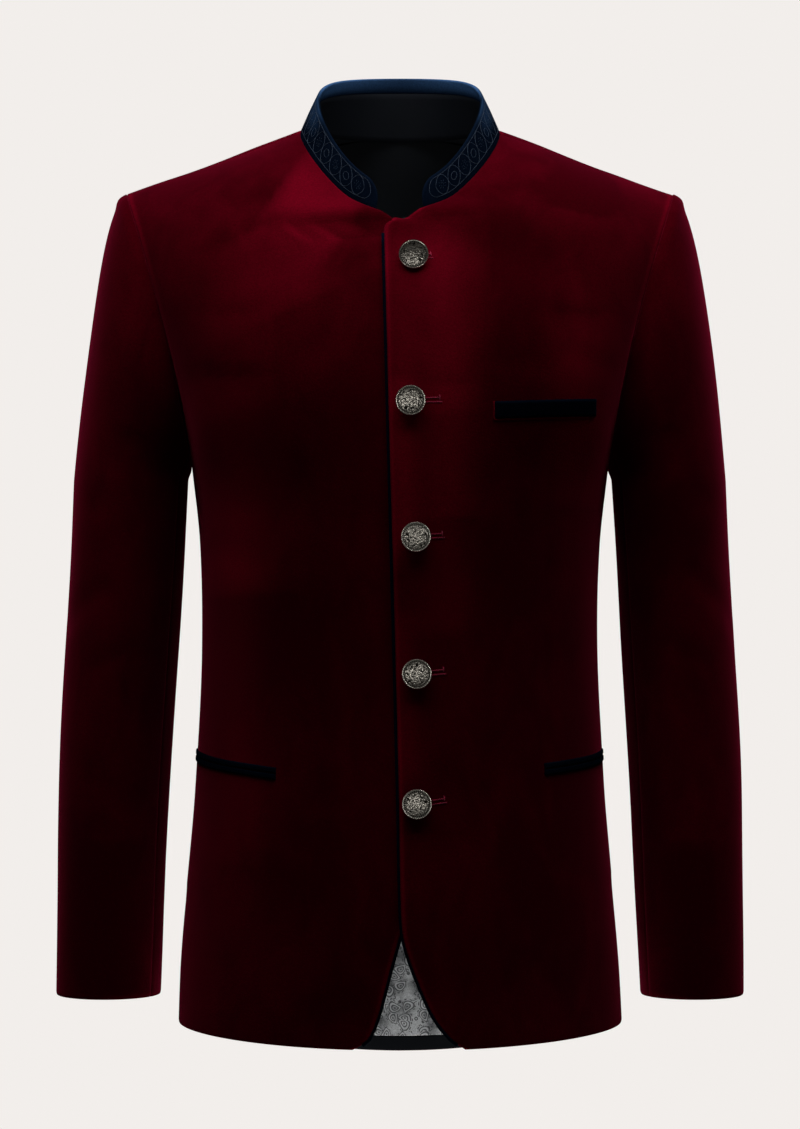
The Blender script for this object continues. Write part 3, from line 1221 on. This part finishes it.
def padded_strip(node, spot, places, height):
    """A soft band of velvet laid on a front, up from the places of its lower edge."""
    outer, inner = [], []
    for k, (x, level, turn) in enumerate(places):
        rows = []
        for n in range(STRIP_STEPS + 1):
            point, normal = spot(x, level + height * n / STRIP_STEPS, turn)
            edge = min(n, STRIP_STEPS - n) * height / STRIP_STEPS / STRIP_EDGE
            edge = min(edge, min(k, len(places) - 1 - k) / 2.5, 1)
            puff = STRIP_RISE * sqrt(1 - (1 - edge) ** 2)
            rows.append((point + normal * (STRIP_LIFT + puff), point - normal * STRIP_SUNK))
        outer.append([top for top, _ in rows])
        inner.append([under for _, under in rows])
    outer, inner = np.array(outer), np.array(inner)
    plain = np.zeros(outer.shape[:2])
    piece = shell(f"velvet_{node}", outer, inner, ["navy velvet"], seam=plain, stroked=plain)
    return dress(piece, "navy_velvet", node)


def build_chest_welt(front):
    """The welt, and the pile that stands up along two of its edges, where it presses the velvet down."""
    spot = ground(front)

    def low(k):
        return lerp(WELT["inner_level"], WELT["outer_level"], k / STRIP_PLACES)

    places = [(lerp(WELT["inner"], WELT["outer"], k / STRIP_PLACES), low(k), 0.0)
              for k in range(STRIP_PLACES + 1)]
    padded_strip("chest_welt", spot, places, WELT["height"])
    corner = WELT["inner"] - STRIP_SUNK
    outline = [spot(corner, WELT["inner_level"] + WELT["height"] * (1 - k / 12)) for k in range(13)]
    outline += [spot(lerp(corner, WELT["outer"], k / STRIP_PLACES), low(k) - PILE_ROOM) for k in range(1, 60)]
    dress(tubes("velvet_welt_pile", [outline], PILE_RADIUS, 6, "wine velvet", stroked=0.35), "wine_velvet")


def build_hip_jets(fronts):
    """Two narrow bands a side, one above the pocket mouth and one below, running back to the side."""
    for jet in named_rows(JETS):
        hand = jet["hand"]
        side, spot = HANDS[hand], ground(fronts[hand])
        inner = spot(jet["inner"] * side, jet["inner_level"])[0]
        row = (UNDERARM.z - jet["outer_level"]) / (FRONT.hem - UNDERARM.z)
        outer = body(FRONT, row, JET_END)
        turns = atan2(abs(inner.x), -inner.y), atan2(outer[0], -outer[1])
        for place, offset in (("lower", -JET_HEIGHT - SEAM_GAP / 2), ("upper", SEAM_GAP / 2)):
            places = [(0.0, lerp(jet["inner_level"], jet["outer_level"], k / STRIP_PLACES) + offset,
                       lerp(*turns, k / STRIP_PLACES) * side) for k in range(STRIP_PLACES + 1)]
            padded_strip(f"hip_jet_{place}_{hand}", spot, places, JET_HEIGHT)


def button_relief(radius, angle):
    """Height of a button's casting, 0 in its hollows and 1 on its crests."""
    if radius > BUTTON_RIM:
        return 1.0
    if radius > BUTTON_GROOVE:
        return 0.1
    if radius > BUTTON_SLOTS:
        return 0.8 if cos(BUTTON_SLOT_COUNT * angle) < 0.2 else -0.4
    # Grains are 1 mm apart, drawn at 1.2 mm so that they show.
    place = Vector((cos(angle), sin(angle), 0)) * radius / BUTTON_GRAIN
    return 1 - (noise.voronoi(place)[0][0] / 0.76) ** 2


def button_level(radius, relief):
    """How far a button's face stands off the cloth."""
    if radius > BUTTON_RIM:
        across = (radius - BUTTON_RIM) / (BUTTON_RADIUS - BUTTON_RIM)
        return BUTTON_RIM_LEVEL + BUTTON_RIM_RISE * sin(pi * across)
    dome = BUTTON_DOME_RISE * sqrt(1 - (radius / BUTTON_DOME_RADIUS) ** 2)
    return BUTTON_DOME_FOOT + dome + BUTTON_RELIEF * relief


def build_buttons(front):
    """Domed cast buttons: a polished rim, a ring of short slots, and small grains all over the dome."""
    spot, turns = ground(front), BUTTON_TURNS
    radii = [BUTTON_RADIUS * k / BUTTON_RINGS for k in range(1, BUTTON_RINGS + 1)]
    rings = len(radii) + len(BUTTON_UNDER)
    faces = [(0, 1 + k, 1 + (k + 1) % turns) for k in range(turns)]
    faces += [(a, d, c, b) for a, b, c, d in ring_faces(turns, rings, 1, closed=False)]
    faces.append(tuple(1 + (rings - 1) * turns + k for k in range(turns)))
    for number, place in enumerate(named_rows(BUTTONS), 1):
        origin, normal = spot(place["x"], place["level"])
        # A button hangs by its shank, so on the slope of the chest it faces less upwards than the cloth.
        facing = Vector((normal.x, normal.y, normal.z * 0.5)).normalized()
        across = (Vector((1, 0, 0)) - facing * facing.x).normalized()
        up = facing.cross(across)
        points, values = [origin + facing * BUTTON_TOP], [0.6]
        for radius, under in [(radius, None) for radius in radii] + list(BUTTON_UNDER):
            for k in range(turns):
                angle = 2 * pi * k / turns
                relief, level = 0.3, under
                if under is None:
                    relief = button_relief(radius, angle + 1.3 * number)
                    level = button_level(radius, relief)
                points.append(origin + (across * cos(angle) + up * sin(angle)) * radius + facing * level)
                values.append(relief)
        piece = solid(f"silver_button_{number}", points, faces, ["antique silver"], relief=values)
        dress(piece, "antique_silver", f"button_{number}")


def build_buttonholes(front):
    """Worked buttonholes: two rows of close stitches along the slit, and a bar across its outer end."""
    spot = ground(front)
    paths = []

    def stitch(x, level, to_x, to_level):
        paths.append([spot(lerp(x, to_x, f), lerp(level, to_level, f), out=STITCH_RISE * sin(pi * f))
                      for f in (0, 0.25, 0.5, 0.75, 1)])

    for place in named_rows(BUTTONS):
        start, end = place["x"] + HOLE_IN, place["hole_end"]
        count = round((end - start) / HOLE_STITCH_STEP)
        for k in range(count + 1):
            x = lerp(start, end, k / count)
            level = place["level"] - 0.0002 + place["hole_slope"] * (x - start)
            outer = HOLE_STITCH_END + 0.0002 * sin(k * 2.4)
            if x < end - HOLE_BAR_IN:
                stitch(x, level + HOLE_HALF_SLIT, x + 0.0001, level + outer)
            stitch(x, level - HOLE_HALF_SLIT, x + 0.0001, level - outer)
        for k in range(2):
            bar = end - HOLE_BAR_IN + 0.0005 * k
            stitch(bar, level - 0.0003, bar, level + 0.0038 - 0.0008 * k)
    return dress(tubes("stitched_buttonholes", paths, STITCH_RADIUS, 5, "buttonhole thread"), "wine_velvet")


def build_stage():
    scene = bpy.context.scene
    light = scene.jacket_light
    turns = [2 * pi * k / FLOOR_TURNS for k in range(FLOOR_TURNS)]
    rings = [(0.01, 0.0), (FLOOR_RADIUS, 0.0)]
    rings += [(FLOOR_RADIUS + FLOOR_CURVE * sin(pi / 16 * k), FLOOR_CURVE * (1 - cos(pi / 16 * k)))
              for k in range(1, 9)]
    rings.append((FLOOR_RADIUS + FLOOR_CURVE, FLOOR_TOP))
    points = [(r * cos(turn), r * sin(turn), high + FLOOR) for r, high in rings for turn in turns]
    faces = [tuple(range(FLOOR_TURNS))] + ring_faces(FLOOR_TURNS, len(rings), closed=False)
    floor = solid("floor", points, faces, ["background paper"])
    floor.visible_diffuse = floor.visible_glossy = floor.visible_shadow = False

    world = bpy.data.worlds.new("soft room")
    scene.world = world
    world.use_nodes = True
    sky = world.node_tree.nodes["Background"]
    sky.inputs["Color"].default_value = scene.jacket_colours.paper
    sky.inputs["Strength"].default_value = light.room

    for lamp_row in named_rows(LAMPS):
        lamp = bpy.data.lights.new(lamp_row["name"], "AREA")
        lamp.shape, lamp.size, lamp.size_y = "RECTANGLE", lamp_row["width"], lamp_row["height"]
        lamp.energy = getattr(light, lamp_row["power"])
        stand = bpy.data.objects.new(lamp_row["name"], lamp)
        scene.collection.objects.link(stand)
        place, target = Vector(lamp_row["place"]), Vector(lamp_row["target"])
        stand.location = place
        stand.rotation_euler = (target - place).to_track_quat("-Z", "Y").to_euler()
        stand.visible_camera = False
        stand.visible_diffuse = lamp_row["lights"] == "cloth"
        stand.visible_glossy = lamp_row["lights"] == "metal"

    camera = bpy.data.cameras.new("camera")
    camera.lens, camera.clip_end = LENS, 60
    stand = bpy.data.objects.new("camera", camera)
    scene.collection.objects.link(stand)
    stand.location, stand.rotation_euler = CAMERA, (radians(90), 0, 0)
    scene.camera = stand
    scene.view_settings.view_transform = "Standard"


def length(name, about, default):
    return FloatProperty(name=name, description=about, default=default, unit="LENGTH")


def colour(name, about, default):
    return FloatVectorProperty(name=name, description=about, default=linear(default), subtype="COLOR", size=4)


def power(name, about, default):
    return FloatProperty(name=name, description=about, default=default, unit="POWER")


class Cloth(bpy.types.PropertyGroup):
    """Sizes of the cloth."""
    wall: length("Wall", "Thickness of the velvet", 0.0016)
    seam_depth: length("Seam depth", "How far the cloth turns down at a seam", 0.0006)
    dart_depth: length("Dart depth", "How far a dart's stitching pulls the cloth in", 0.0006)
    head_rise: length("Sleeve head", "How far the sleeve head rises over its seam", 0.0020)
    softness: length("Softness", "Height of the cloth's gentle unevenness", 0.0012)
    wave: length("Wave", "Size of the cloth's gentle unevenness", 0.055)
    crease: length("Creases", "Depth of the soft creases", 0.0012)


class Colours(bpy.types.PropertyGroup):
    """Colours of the jacket."""
    deep: colour("Velvet", "Pile seen end on", "250003")
    lit: colour("Lit velvet", "Pile that leans over and catches the light", "6E0418")
    sheen: colour("Sheen", "Light along the velvet's turning edges", "8C1A36")
    trim: colour("Trim", "Pile of the collar, pipings and pockets", "02040A")
    trim_lit: colour("Lit trim", "Trim that catches the light", "2A4568")
    facing: colour("Facing", "Satin of the facings", "1A1C1F")
    band: colour("Collar lining", "Satin inside the collar", "0E1014")
    lining: colour("Lining", "Ground of the lining", "D8DADB")
    figure: colour("Figure", "Lines of the lining's paisley", "3A3C3E")
    shadow: colour("Shadow", "Duller parts of the lining", "6A6C6E")
    metal: colour("Buttons", "Rubbed silver", "D6CFC2")
    tarnish: colour("Tarnish", "Oxide in the buttons' hollows", "1E1C17")
    buttonholes: colour("Buttonholes", "Thread of the buttonholes", "781830")
    embroidery: colour("Embroidery", "Thread on the collar", "272F3B")
    paper: colour("Paper", "Background", "F2EEEB")


class Light(bpy.types.PropertyGroup):
    """Strength of the studio light."""
    top: power("Top", "Large soft light above", 43.0)
    strip: power("Strips", "Tall lights that glint in the buttons", 5.0)
    screen: power("Screen", "Wide dim light that the buttons mirror", 5.5)
    back: power("Back", "Light from behind", 16.0)
    neck: power("Neck", "Small light into the neck", 0.9)
    lining: power("Lining", "Small light up into the hem", 2.2)
    room: FloatProperty(name="Room", description="Strength of the light from all round", default=0.035)


class AddFronts(bpy.types.Operator):
    """Cut the two fronts."""
    bl_idname = "jacket.add_fronts"
    bl_label = "Fronts"

    def execute(self, context):
        for hand in HANDS:
            build_front(hand)
        return {"FINISHED"}


class AddBacks(bpy.types.Operator):
    """Cut the two backs."""
    bl_idname = "jacket.add_backs"
    bl_label = "Backs"

    def execute(self, context):
        for hand in HANDS:
            build_back(hand)
        return {"FINISHED"}


class AddSleeves(bpy.types.Operator):
    """Cut the two pieces of each sleeve."""
    bl_idname = "jacket.add_sleeves"
    bl_label = "Sleeves"

    def execute(self, context):
        for hand in HANDS:
            build_sleeve("sleeve_top", BACK_SLEEVE_SEAM, FRONT_SLEEVE_SEAM, hand)
            build_sleeve("sleeve_under", FRONT_SLEEVE_SEAM, BACK_SLEEVE_SEAM + 2 * pi, hand)
            build_allowances(hand)
        return {"FINISHED"}


class AddCollar(bpy.types.Operator):
    """Make the collar and its lining, and embroider its ends."""
    bl_idname = "jacket.add_collar"
    bl_label = "Collar"

    def execute(self, context):
        build_collar()
        build_collar_lining()
        build_embroidery()
        return {"FINISHED"}


class AddLinings(bpy.types.Operator):
    """Line the back."""
    bl_idname = "jacket.add_linings"
    bl_label = "Linings"

    def execute(self, context):
        for row in named_rows(INSIDES):
            inside_back(**row)
        return {"FINISHED"}


class AddTrims(bpy.types.Operator):
    """Sew on the pipings, the pockets, the buttons and the buttonholes."""
    bl_idname = "jacket.add_trims"
    bl_label = "Trims"

    def execute(self, context):
        fronts = {hand: bpy.data.objects[f"velvet_front_{hand}"] for hand in HANDS}
        for hand in HANDS:
            build_piping(hand)
        build_chest_welt(fronts["left"])
        build_hip_jets(fronts)
        build_buttons(fronts["left"])
        build_buttonholes(fronts["left"])
        return {"FINISHED"}


class SetStage(bpy.types.Operator):
    """Set up the floor, the lights and the camera."""
    bl_idname = "jacket.set_stage"
    bl_label = "Stage"

    def execute(self, context):
        build_stage()
        return {"FINISHED"}


class JacketPanel(bpy.types.Panel):
    """The jacket's steps and sizes in the sidebar."""
    bl_idname = "VIEW3D_PT_jacket"
    bl_label = "Jacket"
    bl_space_type = "VIEW_3D"
    bl_region_type = "UI"
    bl_category = "Jacket"

    def draw(self, context):
        for step in STEPS:
            self.layout.operator(step.bl_idname)
        for name, group in GROUPS:
            for size in group.__annotations__:
                self.layout.prop(getattr(context.scene, name), size)


GROUPS = (("jacket_cloth", Cloth), ("jacket_colours", Colours), ("jacket_light", Light))
STEPS = (AddFronts, AddBacks, AddSleeves, AddCollar, AddLinings, AddTrims, SetStage)


def register():
    for _, group in GROUPS:
        bpy.utils.register_class(group)
    for step in STEPS + (JacketPanel,):
        bpy.utils.register_class(step)
    for name, group in GROUPS:
        setattr(bpy.types.Scene, name, PointerProperty(type=group))


def unregister():
    for name, _ in GROUPS:
        delattr(bpy.types.Scene, name)
    for step in reversed(STEPS + (JacketPanel,)):
        bpy.utils.unregister_class(step)
    for _, group in reversed(GROUPS):
        bpy.utils.unregister_class(group)


def main():
    register()
    bpy.ops.jacket.add_fronts()
    bpy.ops.jacket.add_backs()
    bpy.ops.jacket.add_sleeves()
    bpy.ops.jacket.add_collar()
    bpy.ops.jacket.add_linings()
    bpy.ops.jacket.add_trims()
    bpy.ops.jacket.set_stage()


if __name__ == "__main__":
    main()
